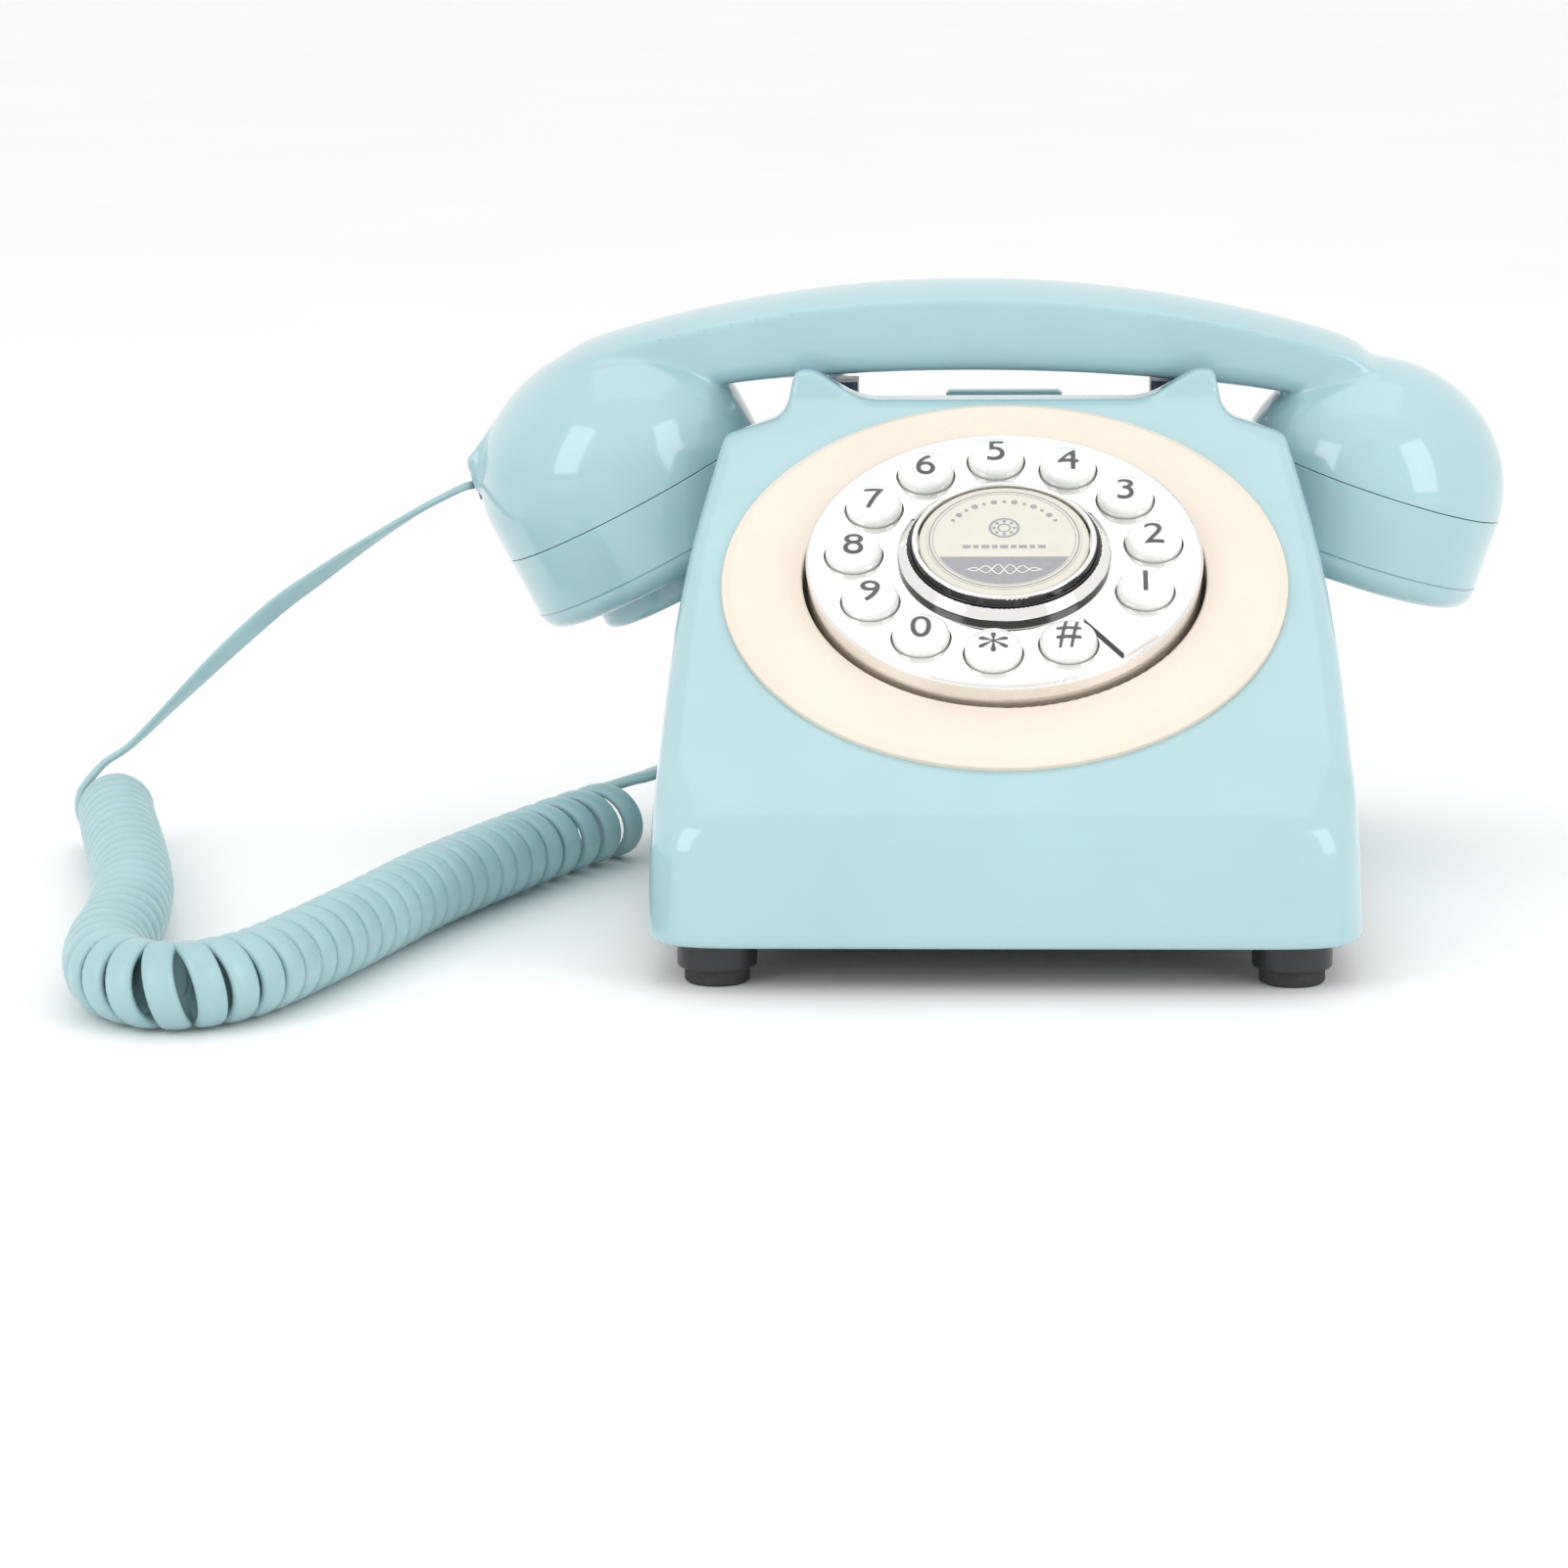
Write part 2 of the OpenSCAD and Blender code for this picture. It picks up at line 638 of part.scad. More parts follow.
// one hole in the middle and a ring of six
module sound_holes(from_z, radius) {
    translate([0, 0, from_z]) cylinder(12, r = 1.2);
    for (k = [0:5]) rotate([0, 0, 60 * k]) translate([radius, 0, from_z]) cylinder(12, r = 1.2);
}

module earpiece_cap() {
    color("#a9d3d8") at_ear() difference() {
        end_cap(ear_r, ear_h, 0, ear_groove);
        rotate([180, 0, 0]) sound_holes(ear_h - 6, 7);
    }
}

module microphone() {
    color("#3a3d40") at_mouth() rotate([180, 0, 0]) translate([0, 0, mouth_h - 3]) cylinder(6, r = 5);
}

module earphone() {
    color("#3a3d40") at_ear() rotate([180, 0, 0]) translate([0, 0, ear_h - shell_t - 8.2]) cylinder(8, r = 18);
}

module handset_jack() {
    color("#1f2123") at_boss() translate([5.1, 0, 0]) jack(9.4, 9.6, 10);
}

// ---------------------------------------------------------------- plugs and cord

// a clear modular plug with its latch, pushed into a jack along +X
module modular_plug() {
    translate([0, -plug_box[1] / 2, -plug_box[2] / 2]) cube(plug_box);
    translate([1, -2, -plug_box[2] / 2 - latch_drop]) cube([8, 4, 0.6]);
    translate([8, -2, -plug_box[2] / 2 - latch_drop]) cube([1, 4, latch_drop + 0.2]);
}

module plug_base() {
    color("#e6eef0") translate([-half_w - 4, jack_y, jack_z]) modular_plug();
}

module plug_handset() {
    color("#e6eef0") at_boss() translate([0.2, 0, 0]) modular_plug();
}

module cord_lead() {
    color("#a9d3d8") tube(lead_points, lead_d, 8, 2);
}

module cord_coil() {
    color("#a9d3d8") tube(coil_points, coil_d, 10, 2);
}

module cord_tail() {
    color("#a9d3d8") tube(tail_points, lead_d, 8, 4);
}

// ---------------------------------------------------------------- nodes

placed() case_shell();
placed() base_plate();
placed() base_screws();
placed() foot_caps();
placed() foot_pads();
placed() dial_ring();
placed() dial_disc();
placed() hub_ring();
placed() hub_cap();
placed() hub_label();
placed() finger_stop();
placed() keypad_mat();
placed() keypad_board();
placed() key(0);  // key_1
placed() key(1);  // key_2
placed() key(2);  // key_3
placed() key(3);  // key_4
placed() key(4);  // key_5
placed() key(5);  // key_6
placed() key(6);  // key_7
placed() key(7);  // key_8
placed() key(8);  // key_9
placed() key(9);  // key_0
placed() key(10);  // key_star
placed() key(11);  // key_hash
placed() main_board();
placed() battery();
placed() ballast();
placed() usb_socket();
placed() hook_yoke();
placed() hook_springs();
placed() hook_switch();
placed() base_jack();
placed() handset_shell();
placed() mouthpiece_cap();
placed() mouth_disc();
placed() earpiece_cap();
placed() microphone();
placed() earphone();
placed() handset_jack();
placed() plug_base();
placed() plug_handset();
placed() cord_lead();
placed() cord_coil();
placed() cord_tail();
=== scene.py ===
"""The visual model of a push-button desk telephone, built around its CAD frame.

Lengths are millimetres in the phone's own frame, whose X starts in the middle of the case, until
add_mesh() turns them into metres in the shared frame.
"""

from itertools import product
from math import ceil, cos, pi, radians, sin, tan

import bmesh
import bpy
import numpy as np
from mathutils import Matrix, Vector


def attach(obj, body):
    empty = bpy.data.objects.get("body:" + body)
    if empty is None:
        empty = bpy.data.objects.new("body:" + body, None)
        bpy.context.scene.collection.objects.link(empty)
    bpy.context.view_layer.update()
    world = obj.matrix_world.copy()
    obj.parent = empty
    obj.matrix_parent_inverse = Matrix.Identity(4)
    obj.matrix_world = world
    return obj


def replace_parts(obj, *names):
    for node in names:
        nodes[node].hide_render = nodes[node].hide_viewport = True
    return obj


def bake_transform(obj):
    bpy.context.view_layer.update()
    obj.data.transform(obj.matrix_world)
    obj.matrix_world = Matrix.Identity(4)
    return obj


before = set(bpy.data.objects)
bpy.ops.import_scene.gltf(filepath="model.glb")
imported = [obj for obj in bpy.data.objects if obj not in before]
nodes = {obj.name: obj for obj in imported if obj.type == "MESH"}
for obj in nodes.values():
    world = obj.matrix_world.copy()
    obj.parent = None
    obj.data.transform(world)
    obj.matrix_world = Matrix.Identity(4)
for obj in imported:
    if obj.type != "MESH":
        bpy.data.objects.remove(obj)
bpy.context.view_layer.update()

# ---------------------------------------------------------------- sizes

MM = 0.001
CASE_X = 4.5
FINE = 1.1
TURN_STEPS = 26

CASE_W, CASE_D, FOOT_H, WALL = 140.4, 184.0, 9.0, 2.5
FACE_SLOPE = radians(30.5)
DIAL_Y, DIAL_Z = -28.0, 71.0
SIDE_X, SIDE_Z = 67.6, 68.0
SHOULDER_X, SHOULDER_Z = 59.4, 95.6
FRONT_RIM_Z, REAR_RIM_Z = 101.6, 95.5
HORN_X, HORN_Z, TROUGH_Z = 44.4, 108.0, 94.0
CRADLE_Y, NECK_X = 50.0, 43.5
SCOOP_X, SCOOP_R = 80.0, 36.5
SHOULDER_FLOOR, FLOOR_FALL = 60.0, 31 / 56.5
OPENING_R = 44.9

LABEL_TOP, DISC_TOP, DISC_R, HUB_R = 11.35, 6.9, 40.4, 21.75
KEY_CIRCLE_R, KEY_TOP, KEY_DOME_R = 30.6, 10.6, 11.0
FIRST_KEY, KEY_PITCH = 112.0, 28.8
KEYS = "1234567890*#"
DIGIT_SIZE, DIGIT_STRETCH = 8.5, (1.1, 1.05)
SIGN_STRETCH = {"*": (1.75, 1.5), "#": (1.0, 1.3)}
KEY_NODES = ["key_" + {"*": "star", "#": "hash"}.get(sign, sign) for sign in KEYS]

GRIP_PEAK_X, GRIP_TOP, GRIP_T, GRIP_HALF = -8.0, 125.3, 19.2, 14.5
TOP_ARC_R, UNDER_ARC_R = 272.0, 480.0
GRIP_REACH, CROWN_DROP, CROWN_SLOPE = 90.0, 3.4, radians(25)
MOUTH = {"seam": (-81.5, 78.3), "tilt": radians(-27.5), "radius": 31.0, "rise": 26.0, "centre": 8.0}
EAR = {"seam": (80.4, 81.5), "tilt": radians(18.5), "radius": 29.3, "rise": 27.6, "centre": -1.5}
DOMES_FROM_X, SEAMS_FROM_X = 30, 40
BOSS, BOSS_TILT, BOSS_R, BOSS_L = (-116.0, 80.4), radians(-15.0), 6.8, 16.0
BOSS_RISE, BOSS_BROW, BOSS_SLOPE = 4.4, 6.3, radians(35)
PLUG_HOLE_LOW, PLUG_HOLE_HIGH = (-3, -4.15, -4.7), (10, 4.15, 3.6)

COIL_D, RIBBON_W, RIBBON_T = 17.0, 6.1, 2.5
COIL_START = radians(125)
LEAD_TWIST, LEAD_THINNED = radians(42), 0.66
SPRING_X, SPRING_LOW, SPRING_HIGH = 28.6, 40.0, 66.0

SLOT_X, SLOT_W, SLOT_D = 34.6, 6.6, 13.0
SEAT_X, SEAT_W, LEFT_SEAT_Z, RIGHT_SEAT_Z = 40.7, 5.0, 104.0, 102.5
LEDGE_LOW, LEDGE_HIGH = (-13, 70.5, 90), (13, 75.5, 98.1)
JACK_Y, JACK_Z, JACK_W, JACK_H = 44.0, 17.0, 12.0, 10.6
SOCKET_Z, SOCKET_W, SOCKET_H = 26.0, 11.0, 7.2


# ---------------------------------------------------------------- shapes as distances


def smooth_step(value, start, end):
    """0 before start, 1 after end, and an even turn between them."""
    t = np.clip((value - start) / (end - start), 0, 1)
    return t * t * (3 - 2 * t)


def smooth_max(a, b, width):
    """The larger of two distances, with a round turn where they are less than width apart."""
    near = np.maximum(width - np.abs(a - b), 0) / width
    return np.maximum(a, b) + near**3 * width / 6


def smooth_min(a, b, width):
    return -smooth_max(-a, -b, width)


def unit(v):
    return v / np.linalg.norm(v)


def rounded(corners):
    """A closed outline from [x, y, radius] corners, every rounded one a row of short steps."""
    points = []
    for i, (x, y, radius) in enumerate(corners):
        here = np.array([x, y], float)
        back = unit(np.array(corners[i - 1][:2], float) - here)
        on = unit(np.array(corners[(i + 1) % len(corners)][:2], float) - here)
        if radius == 0:
            points.append(here)
            continue
        half = np.arccos(np.clip(back @ on, -1, 1)) / 2
        centre = here + unit(back + on) * radius / sin(half)
        start = here + back * radius / tan(half) - centre
        end = here + on * radius / tan(half) - centre
        turn = pi - 2 * half
        steps = max(6, ceil(turn / radians(4)))
        for k in range(steps + 1):
            share = k / steps
            points.append(centre + (sin((1 - share) * turn) * start + sin(share * turn) * end) / sin(turn))
    return np.array(points)


def mirrored(half):
    """The right half of an outline, completed by its mirror image."""
    return half + [(-x, y, radius) for x, y, radius in reversed(half)]


class Outline:
    """Signed distance to a closed flat outline, negative inside, looked up from a table."""

    STEP = 0.5
    MARGIN = 8

    def __init__(self, corners):
        outline = rounded(corners)
        self.low = outline.min(0) - self.MARGIN
        counts = np.ceil((np.ptp(outline, axis=0) + 2 * self.MARGIN) / self.STEP).astype(int) + 1
        u = self.low[0] + self.STEP * np.arange(counts[0])[:, None]
        v = self.low[1] + self.STEP * np.arange(counts[1])[None, :]
        nearest = np.full((len(u), v.shape[1]), np.inf)
        inside = np.zeros(nearest.shape, bool)
        for (au, av), (bu, bv) in zip(outline, np.roll(outline, -1, 0)):
            du, dv = bu - au, bv - av
            along = np.clip(((u - au) * du + (v - av) * dv) / (du * du + dv * dv + 1e-12), 0, 1)
            nearest = np.minimum(nearest, (u - au - along * du) ** 2 + (v - av - along * dv) ** 2)
            if dv:
                inside ^= ((av > v) != (bv > v)) & (u < au + (v - av) * du / dv)
        self.table = np.where(inside, -1, 1) * np.sqrt(nearest)

    def __call__(self, u, v):
        size = self.table.shape
        fu = np.clip((u - self.low[0]) / self.STEP, 0, size[0] - 1.001)
        fv = np.clip((v - self.low[1]) / self.STEP, 0, size[1] - 1.001)
        iu, iv = fu.astype(int), fv.astype(int)
        fu, fv = fu - iu, fv - iv
        t = self.table
        return (t[iu, iv] * (1 - fu) + t[iu + 1, iv] * fu) * (1 - fv) + (
            t[iu, iv + 1] * (1 - fu) + t[iu + 1, iv + 1] * fu
        ) * fv


def block(x, y, z, low, high, radius):
    """Distance to a box with rounded edges."""
    outside = []
    for value, a, b in zip((x, y, z), low, high):
        outside.append(np.abs(value - (a + b) / 2) - (b - a) / 2 + radius)
    clear = np.sqrt(sum(np.maximum(o, 0) ** 2 for o in outside))
    return clear + np.minimum(np.maximum(np.maximum(outside[0], outside[1]), outside[2]), 0) - radius


def gradient(field, points, reach=0.4):
    """Slope of a field at points, from the values a little to each side."""
    slopes = []
    for axis in range(3):
        shift = np.zeros(3)
        shift[axis] = reach
        slopes.append((field(*(points + shift).T) - field(*(points - shift).T)) / (2 * reach))
    return np.array(slopes).T


def net(field, low, high, step):
    """Points and four-sided faces on the zero surface of a field, one point in each cell it crosses."""
    axes = [np.arange(low[i], high[i] + step, step) for i in range(3)]
    values = field(axes[0][:, None, None], axes[1][None, :, None], axes[2][None, None, :])
    cells = tuple(n - 1 for n in values.shape)

    def window(offset):
        return values[tuple(slice(o, o + n) for o, n in zip(offset, cells))]

    total = np.zeros(cells + (3,))
    count = np.zeros(cells)
    for axis in range(3):
        for rest in product((0, 1), repeat=2):
            near = list(rest)
            near.insert(axis, 0)
            far = list(near)
            far[axis] = 1
            a, b = window(near), window(far)
            crossed = (a < 0) != (b < 0)
            count += crossed
            for k in range(3):
                total[..., k] += crossed * near[k]
            total[..., axis] += np.where(crossed, a / np.where(crossed, a - b, 1), 0)
    used = count > 0
    index = np.full(cells, -1)
    index[used] = np.arange(used.sum())
    points = np.array(low) + (total[used] / count[used][:, None] + np.argwhere(used)) * step

    faces = []
    inside = values < 0
    for axis in range(3):
        a, b = (axis + 1) % 3, (axis + 2) % 3
        span = [slice(1, n - 1) for n in values.shape]
        span[axis] = slice(0, values.shape[axis] - 1)
        ahead = list(span)
        ahead[axis] = slice(1, values.shape[axis])
        lower, upper = inside[tuple(span)], inside[tuple(ahead)]
        start = np.ones(3, int)
        start[axis] = 0
        for leaving in (True, False):
            at = np.argwhere((lower == leaving) & (upper != leaving)) + start
            quad = []
            for da, db in ((1, 1), (0, 1), (0, 0), (1, 0)):
                cell = at.copy()
                cell[:, a] -= da
                cell[:, b] -= db
                quad.append(index[tuple(cell.T)])
            quad = np.array(quad).T
            faces.append(quad if leaving else quad[:, ::-1])
    return points, np.concatenate(faces)


def settle(field, points, step):
    """The points of a net, moved on to the surface itself."""
    for _ in range(2):
        slope = gradient(field, points)
        move = slope * (field(*points.T) / np.maximum((slope**2).sum(1), 0.1))[:, None]
        length = np.linalg.norm(move, axis=1)
        points = points - move * np.minimum(1, 0.4 * step / np.maximum(length, 1e-9))[:, None]
    return points


# ---------------------------------------------------------------- meshes


def to_frame(points):
    """Millimetres in the phone's frame as metres in the shared frame."""
    return (np.asarray(points, float) + np.array([CASE_X, 0, 0])) * MM


def on_face(points):
    """Points given across, up and square to the dial face, in the phone's frame."""
    u, v, w = np.asarray(points, float).T
    c, s = cos(FACE_SLOPE), sin(FACE_SLOPE)
    return np.array([u, DIAL_Y + v * c - w * s, DIAL_Z + v * s + w * c]).T


def across_face(vectors):
    """Vectors of the shared frame as their parts across, up and square to the dial face."""
    x, y, z = np.asarray(vectors, float).T
    c, s = cos(FACE_SLOPE), sin(FACE_SLOPE)
    return np.array([x, y * c + z * s, z * c - y * s]).T


def add_mesh(name, points, faces, body, material, smooth=True):
    """A new object from millimetre points, in the shared frame and riding on a body."""
    mesh = bpy.data.meshes.new(name)
    mesh.from_pydata(to_frame(points).tolist(), [], [list(map(int, face)) for face in faces])
    mesh.materials.append(material)
    if smooth:
        mesh.shade_smooth()
    obj = bpy.data.objects.new(name, mesh)
    bpy.context.scene.collection.objects.link(obj)
    if body:
        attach(obj, body)
    return obj


def apply_cut(obj, boxes):
    """Takes boxes, each a list of eight millimetre corners, out of an object."""
    sides = [(0, 1, 3, 2), (4, 6, 7, 5), (0, 4, 5, 1), (2, 3, 7, 6), (0, 2, 6, 4), (1, 5, 7, 3)]
    faces = [[8 * i + k for k in side] for i in range(len(boxes)) for side in sides]
    material = obj.data.materials[0]
    cutter = add_mesh(obj.name + "_cutter", np.concatenate(boxes), faces, None, material, False)
    modifier = obj.modifiers.new("openings", "BOOLEAN")
    modifier.operation = "DIFFERENCE"
    modifier.solver = "EXACT"
    modifier.object = cutter
    graph = bpy.context.evaluated_depsgraph_get()
    cut = bpy.data.meshes.new_from_object(obj.evaluated_get(graph))
    obj.modifiers.clear()
    obj.data = cut
    bpy.data.objects.remove(cutter)


def box_corners(low, high):
    return np.array(list(product(*zip(low, high))), float)


def box_around(centre, size):
    half = np.array(size) / 2
    return box_corners(centre - half, centre + half)


def shade_from(obj, field):
    """Takes a mesh's normals from the field it was made from, except on faces cut afterwards."""
    mesh = obj.data
    mesh.shade_smooth()
    places = np.empty(len(mesh.vertices) * 3)
    mesh.vertices.foreach_get("co", places)
    slope = gradient(field, places.reshape(-1, 3) / MM - np.array([CASE_X, 0, 0]))
    slope /= np.maximum(np.linalg.norm(slope, axis=1), 1e-9)[:, None]
    flat = np.empty(len(mesh.polygons) * 3)
    mesh.polygons.foreach_get("normal", flat)
    counts = np.empty(len(mesh.polygons), int)
    mesh.polygons.foreach_get("loop_total", counts)
    flat = np.repeat(flat.reshape(-1, 3), counts, axis=0)
    owner = np.empty(len(mesh.loops), int)
    mesh.loops.foreach_get("vertex_index", owner)
    normals = slope[owner]
    agrees = (normals * flat).sum(1) > 0.8
    mesh.normals_split_custom_set(np.where(agrees[:, None], normals, flat).tolist())


def tube(name, centres, across, outline, body, material, thickness=None):
    """A closed solid with one flat outline carried along centres, its width lying along across.

    Thickness, if given, is the share of the outline's height at each centre.
    """
    centres = np.asarray(centres, float)
    along = np.gradient(centres, axis=0)
    along /= np.linalg.norm(along, axis=1)[:, None]
    width = across - (across * along).sum(1)[:, None] * along
    width /= np.linalg.norm(width, axis=1)[:, None]
    height = np.cross(along, width)
    if thickness is not None:
        height *= thickness[:, None]
    rings = centres[:, None] + outline[:, 0, None] * width[:, None] + outline[:, 1, None] * height[:, None]
    count, sides = len(centres), len(outline)
    faces = []
    for i in range(count - 1):
        for k in range(sides):
            n = (k + 1) % sides
            faces.append((i * sides + k, i * sides + n, (i + 1) * sides + n, (i + 1) * sides + k))
    faces.append(list(range(sides))[::-1])
    faces.append([(count - 1) * sides + k for k in range(sides)])
    return add_mesh(name, rings.reshape(-1, 3), faces, body, material)


def spline(points, spacing):
    """A smooth line through points, as centres that far apart."""
    points = np.asarray(points, float)
    before = np.vstack([points[:1], points[:-2]])
    after = np.vstack([points[2:], points[-1:]])
    dense = []
    for p0, p1, p2, p3 in zip(before, points[:-1], points[1:], after):
        t = np.linspace(0, 1, 60, endpoint=False)[:, None]
        square = (2 * p0 - 5 * p1 + 4 * p2 - p3) * t**2
        cube = (3 * p1 - p0 - 3 * p2 + p3) * t**3
        dense.append((2 * p1 + (p2 - p0) * t + square + cube) / 2)
    dense = np.vstack(dense + [points[-1:]])
    reach = distance_along(dense)
    stops = np.linspace(0, reach[-1], max(2, round(reach[-1] / spacing)))
    return np.array([np.interp(stops, reach, dense[:, k]) for k in range(3)]).T


def distance_along(points):
    return np.concatenate([[0], np.cumsum(np.linalg.norm(np.diff(points, axis=0), axis=1))])


# ---------------------------------------------------------------- materials


def surface(name, colour, roughness, *, metallic=0, mottle=0.03, patch=25, grain=0.5, relief=0.004, coat=0):
    """A finish whose tint, gloss and relief vary a little; patch and grain are sizes in millimetres."""
    material = bpy.data.materials.new(name)
    material.use_nodes = True
    tree = material.node_tree
    shader = tree.nodes["Principled BSDF"]
    shader.inputs["Metallic"].default_value = metallic
    shader.inputs["Coat Weight"].default_value = coat
    shader.inputs["Coat Roughness"].default_value = 0.05
    where = tree.nodes.new("ShaderNodeTexCoord")

    def noise(size, detail):
        node = tree.nodes.new("ShaderNodeTexNoise")
        node.inputs["Scale"].default_value = 1 / (size * MM)
        node.inputs["Detail"].default_value = detail
        tree.links.new(where.outputs["Object"], node.inputs["Vector"])
        return node.outputs["Fac"]

    broad = noise(patch, 3)
    tint = tree.nodes.new("ShaderNodeValToRGB")
    tint.color_ramp.elements[0].position = 0.3
    tint.color_ramp.elements[1].position = 0.7
    tint.color_ramp.elements[0].color = [c * (1 - mottle) for c in colour] + [1]
    tint.color_ramp.elements[1].color = [min(1, c * (1 + mottle)) for c in colour] + [1]
    tree.links.new(broad, tint.inputs["Fac"])
    tree.links.new(tint.outputs["Color"], shader.inputs["Base Color"])
    gloss = tree.nodes.new("ShaderNodeMapRange")
    gloss.inputs["From Min"].default_value = 0.3
    gloss.inputs["From Max"].default_value = 0.7
    gloss.inputs["To Min"].default_value = roughness * 0.85
    gloss.inputs["To Max"].default_value = roughness * 1.15
    tree.links.new(noise(patch / 3, 2), gloss.inputs["Value"])
    tree.links.new(gloss.outputs["Result"], shader.inputs["Roughness"])
    bump = tree.nodes.new("ShaderNodeBump")
    bump.inputs["Strength"].default_value = 1.0
    bump.inputs["Distance"].default_value = relief * MM
    tree.links.new(noise(grain, 2), bump.inputs["Height"])
    tree.links.new(bump.outputs["Normal"], shader.inputs["Normal"])
    return material


TURQUOISE = (0.355, 0.548, 0.583)
CREAM = (0.79, 0.695, 0.59)

FINISHES = {
    "case_plastic": surface("case_plastic", TURQUOISE, 0.16, coat=0.6),
    "handset_plastic": surface("handset_plastic", TURQUOISE, 0.14, coat=0.7),
    "cord": surface("cord", (0.335, 0.52, 0.545), 0.34, mottle=0.05, patch=12, grain=0.4, relief=0.006),
    "cream_plastic": surface("cream_plastic", CREAM, 0.28, mottle=0.02),
    "chrome": surface("chrome", (0.86, 0.85, 0.83), 0.05, metallic=1.0, mottle=0.02, grain=1.5, relief=0.001),
    # painted reflection: a near-black chrome painted on grooves and walls to stand for dark surroundings
    # mirrored in the chrome
    "chrome_painted_reflection": surface("chrome_painted_reflection", (0.07, 0.07, 0.072), 0.15, metallic=1.0, mottle=0.1, grain=1.5),
    "label": surface("label", (0.67, 0.65, 0.57), 0.45, patch=6, grain=0.2),
    "key_plastic": surface("key_plastic", (0.84, 0.86, 0.83), 0.10, patch=5, coat=0.8),
    "mat_rubber": surface("mat_rubber", (0.20, 0.21, 0.22), 0.6, patch=4, relief=0.01),
    "board": surface("board", (0.03, 0.14, 0.06), 0.4, mottle=0.25, patch=3, relief=0.02),
    "battery_wrap": surface("battery_wrap", (0.08, 0.18, 0.42), 0.3, patch=8),
    "steel_plate": surface("steel_plate", (0.42, 0.43, 0.44), 0.35, metallic=1.0, mottle=0.08, patch=6),
    "steel": surface("steel", (0.55, 0.55, 0.56), 0.28, metallic=1.0, mottle=0.06, patch=2),
    "base_plastic": surface("base_plastic", (0.028, 0.030, 0.033), 0.5, mottle=0.1, patch=10, relief=0.02),
    "foot_plastic": surface("foot_plastic", (0.022, 0.022, 0.024), 0.35, mottle=0.1, patch=6, relief=0.01),
    "foot_rubber": surface("foot_rubber", (0.032, 0.031, 0.031), 0.75, mottle=0.15, patch=3, relief=0.03),
    "hook_plastic": surface("hook_plastic", (0.035, 0.065, 0.105), 0.3, patch=6),
    "black_plastic": surface("black_plastic", (0.014, 0.015, 0.017), 0.35, patch=4, relief=0.01),
    "capsule": surface("capsule", (0.05, 0.05, 0.055), 0.4, mottle=0.1, patch=3, relief=0.02),
}


def clear_plastic():
    """Clear plug plastic, faintly tinted and a little cloudy."""
    material = surface("clear_plastic", (0.80, 0.88, 0.90), 0.08, mottle=0.02, patch=3)
    shader = material.node_tree.nodes["Principled BSDF"]
    shader.inputs["Transmission Weight"].default_value = 0.85
    shader.inputs["IOR"].default_value = 1.49
    return material


FINISHES["clear_plastic"] = clear_plastic()
INK = surface("ink", (0.08, 0.08, 0.085), 0.4, mottle=0.08, patch=1)
PALE_INK = surface("pale_ink", (0.86, 0.85, 0.80), 0.45, patch=1)
GREY_INK = surface("grey_ink", (0.32, 0.32, 0.34), 0.45, mottle=0.05, patch=1)

# ---------------------------------------------------------------- camera, light and floor


def make_camera(place, yaw, pitch, roll, focal):
    """Looks along +Y turned left by yaw and down by pitch; focal is in picture widths."""
    ahead = Vector((-sin(yaw) * cos(pitch), cos(yaw) * cos(pitch), -sin(pitch)))
    level = ahead.cross(Vector((0, 0, 1))).normalized()
    right = level * cos(roll) + level.cross(ahead) * sin(roll)
    up = right.cross(ahead)
    data = bpy.data.cameras.new("camera")
    data.sensor_width = 36
    data.lens = 36 * focal
    data.clip_end = 20
    camera = bpy.data.objects.new("camera", data)
    bpy.context.scene.collection.objects.link(camera)
    turn = Matrix((right, up, -ahead)).transposed().to_4x4()
    camera.matrix_world = Matrix.Translation(Vector(to_frame(place))) @ turn
    bpy.context.scene.camera = camera


def area_light(name, place, target, size, power):
    data = bpy.data.lights.new(name, "AREA")
    data.shape = "RECTANGLE"
    data.size, data.size_y = size
    data.energy = power
    light = bpy.data.objects.new(name, data)
    light.location = place
    light.rotation_euler = (Vector(target) - Vector(place)).to_track_quat("-Z", "Y").to_euler()
    bpy.context.scene.collection.objects.link(light)
    return light


def make_studio():
    world = bpy.data.worlds.new("studio")
    world.use_nodes = True
    background = world.node_tree.nodes["Background"]
    background.inputs["Color"].default_value = (1.0, 1.0, 1.0, 1)
    background.inputs["Strength"].default_value = 1.0
    bpy.context.scene.world = world
    bpy.context.scene.view_settings.view_transform = "Standard"
    bpy.ops.mesh.primitive_plane_add(size=12, location=(0, 0, 0))
    floor = bpy.context.object
    floor.name = "floor"
    floor.data.materials.append(surface("floor", (0.95, 0.95, 0.95), 0.6, mottle=0.01, patch=200))
    middle = (0, 0, 0.06)
    side_size, side_power = (0.46, 0.90), 2.8
    area_light("left_box", (-0.75, -0.75, 0.55), middle, side_size, side_power)
    area_light("right_box", (0.80, -0.70, 0.50), middle, side_size, side_power)
    area_light("top_box", (0.0, 0.15, 1.2), middle, (1.0, 0.8), 1.2)


make_camera(
    place=(-0.57, -1016.5, 233.8),
    yaw=radians(2.594),
    pitch=radians(11.7),
    roll=radians(-0.5),
    focal=3.123,
)
make_studio()

# ---------------------------------------------------------------- cord

